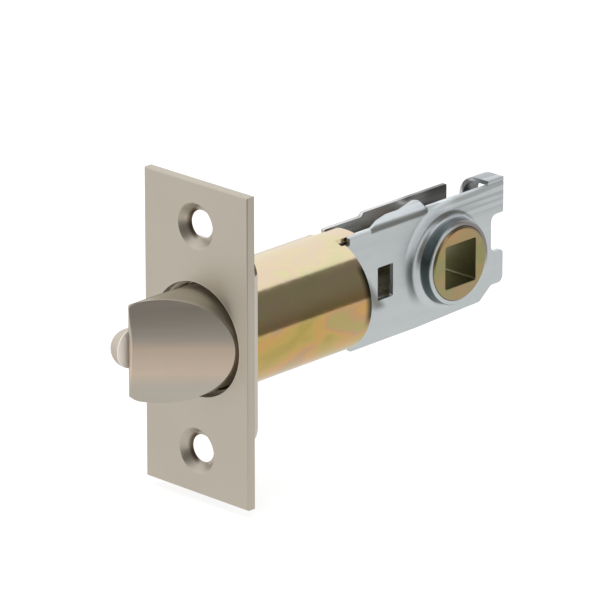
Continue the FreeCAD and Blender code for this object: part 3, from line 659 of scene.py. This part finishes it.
def spring_tree(material):
    """A node group that makes a compression spring along Y from its sizes."""
    tree = bpy.data.node_groups.new("compression_spring", "GeometryNodeTree")
    for name in ("Radius", "Wire", "Turns", "Low", "High", "Across"):
        tree.interface.new_socket(name, in_out="INPUT", socket_type="NodeSocketFloat")
    tree.interface.new_socket("Geometry", in_out="OUTPUT", socket_type="NodeSocketGeometry")
    sheet = Sheet(tree)
    given = tree.nodes.new("NodeGroupInput")
    radius, wire, turns, low, high, across = [Signal(sheet, s) for s in given.outputs[:6]]
    line = sheet.node("GeometryNodeCurvePrimitiveLine")
    count = (turns + 2) * STEPS_PER_TURN + 1
    line = sheet.node("GeometryNodeResampleCurve", (), {"Curve": line, "Count": count})
    turn = sheet.node("GeometryNodeSplineParameter") * (turns + 2)
    opened = sheet.node("Clamp", (), {0: turn - 1, 1: 0.0, 2: turns})
    closed = wire * CLOSED_PITCH
    pitch = (high - low - wire - closed * 2) / turns
    angle = turn * math.tau
    x = angle.reckon("COSINE", angle, 0.0) * radius + across
    y = low + wire * 0.5 + closed * (turn - opened) + pitch * opened
    z = angle.reckon("SINE", angle, 0.0) * radius
    helix = sheet.node("CombineXYZ", (), {0: x, 1: y, 2: z})
    path = sheet.node("GeometryNodeSetPosition", (), {"Geometry": line, "Position": helix})
    section = sheet.node("GeometryNodeCurvePrimitiveCircle", (),
                         {"Resolution": WIRE_SIDES, "Radius": wire * 0.5})
    skin = sheet.node("GeometryNodeCurveToMesh", (),
                      {"Curve": path, "Profile Curve": section, "Fill Caps": True})
    skin = sheet.node("GeometryNodeRealizeInstances", (), {"Geometry": skin})
    skin = sheet.node("GeometryNodeSetMaterial", (), {"Geometry": skin, "Material": material})
    sheet.node("NodeGroupOutput", (), {"Geometry": skin})
    return tree


def coil_spring(node, name, tree, wire, turns):
    """A spring in the box of its CAD node, which rides with the node's body."""
    low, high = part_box(node)
    sizes = {"Radius": (high.z - low.z) / 2 - wire * CAD_CORNER, "Wire": wire, "Turns": turns,
             "Low": low.y, "High": high.y, "Across": (low.x + high.x) / 2}
    work = bpy.data.objects.new("work", bpy.data.meshes.new("work"))
    bpy.context.scene.collection.objects.link(work)
    winding = work.modifiers.new("winding", "NODES")
    winding.node_group = tree
    for item in tree.interface.items_tree:
        if item.in_out == "INPUT":
            winding[item.identifier] = float(sizes[item.name])
    piece = plain_mesh(work, name)
    piece.data.shade_smooth()
    piece.data.set_sharp_from_angle(angle=math.radians(40))
    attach(piece, nodes[node]["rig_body"])
    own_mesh(piece)
    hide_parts(node)
    print(name, len(piece.data.polygons), "faces")


CAD_CORNER = 0.55
SEAT_Y = 30 * MM
winding_tree = spring_tree(spring_steel)
coil_spring("bolt_spring", "bolt_coil", winding_tree, 0.8 * MM, 7.0)
coil_spring("plunger_spring", "plunger_coil", winding_tree, 0.4 * MM, 10.0)

# %% [markdown]
# The pawl's own spring is a bent wire rather than a helix along Y, so it is a curve through
# points: a leg that hooks the pawl, one turn round the pin, and a leg that ends at the seat.
# When the pawl turns, the front leg goes with it and the turn stays on its pin; here the wire is made
# once, in its resting place.


# %% Pawl spring
PAWL_PIVOT = Vector((-6.0, 28.4, 0.0)) * MM
PAWL_COIL_RADIUS = 0.95 * MM
PAWL_WIRE = 0.24 * MM
PAWL_COIL_Z = 5.10 * MM
PAWL_LEG_Y = 24.2 * MM
LEG_LEAN = 0.10 * MM
HOOK_DROP = 0.6 * MM
LEG_STEPS = 14

rise = PAWL_WIRE * CLOSED_PITCH
leg_x = PAWL_PIVOT.x + PAWL_COIL_RADIUS
path = [Vector((leg_x - LEG_LEAN, PAWL_LEG_Y - PAWL_WIRE, PAWL_COIL_Z - HOOK_DROP))]
for step in range(LEG_STEPS):
    share = step / LEG_STEPS
    path.append(Vector((leg_x - LEG_LEAN * (1 - share),
                        PAWL_LEG_Y + (PAWL_PIVOT.y - PAWL_LEG_Y) * share, PAWL_COIL_Z)))
for step in range(STEPS_PER_TURN + 1):
    turn = step / STEPS_PER_TURN
    path.append(Vector((PAWL_PIVOT.x + PAWL_COIL_RADIUS * math.cos(math.tau * turn),
                        PAWL_PIVOT.y + PAWL_COIL_RADIUS * math.sin(math.tau * turn),
                        PAWL_COIL_Z + rise * turn)))
path.append(Vector((leg_x, SEAT_Y, PAWL_COIL_Z + rise)))
curve = bpy.data.curves.new("bent_wire", "CURVE")
curve.dimensions = "3D"
curve.bevel_depth = PAWL_WIRE / 2
curve.bevel_resolution = 2
curve.use_fill_caps = True
line = curve.splines.new("POLY")
line.points.add(len(path) - 1)
for point, spot in zip(line.points, path):
    point.co = (*spot, 1)
work = bpy.data.objects.new("work", curve)
bpy.context.scene.collection.objects.link(work)
pawl_coil = plain_mesh(work, "pawl_coil")
pawl_coil.data.materials.append(spring_steel)
pawl_coil.data.shade_smooth()
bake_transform(pawl_coil)
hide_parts("pawl_spring")
print("pawl coil", len(pawl_coil.data.polygons), "faces")

# %% Dress the pieces
softened("faceplate", "plate", 0.10 * MM, nickel)
softened("latch_bolt", "bolt", 0.50 * MM, bolt_nickel, 4)
softened("deadlock_plunger", "plunger", 0.20 * MM, plunger_nickel, 3)
softened("case_plate_right", "near_case_plate", 0.10 * MM, near_zinc)
softened("case_plate_left", "far_case_plate", 0.10 * MM, far_zinc)
softened("retractor_hub", "hub", 0.12 * MM, hub_zinc)
softened("tube_housing", "tube", 0.06 * MM, tube_zinc)
for node in ("case_spacers", "spring_seat", "bolt_tail"):
    dressed(node, lightened_inner_zinc)
for node in ("tail_pin", "guide_rod", "deadlock_pawl", "pawl_pin"):
    dressed(node, drawn_steel)
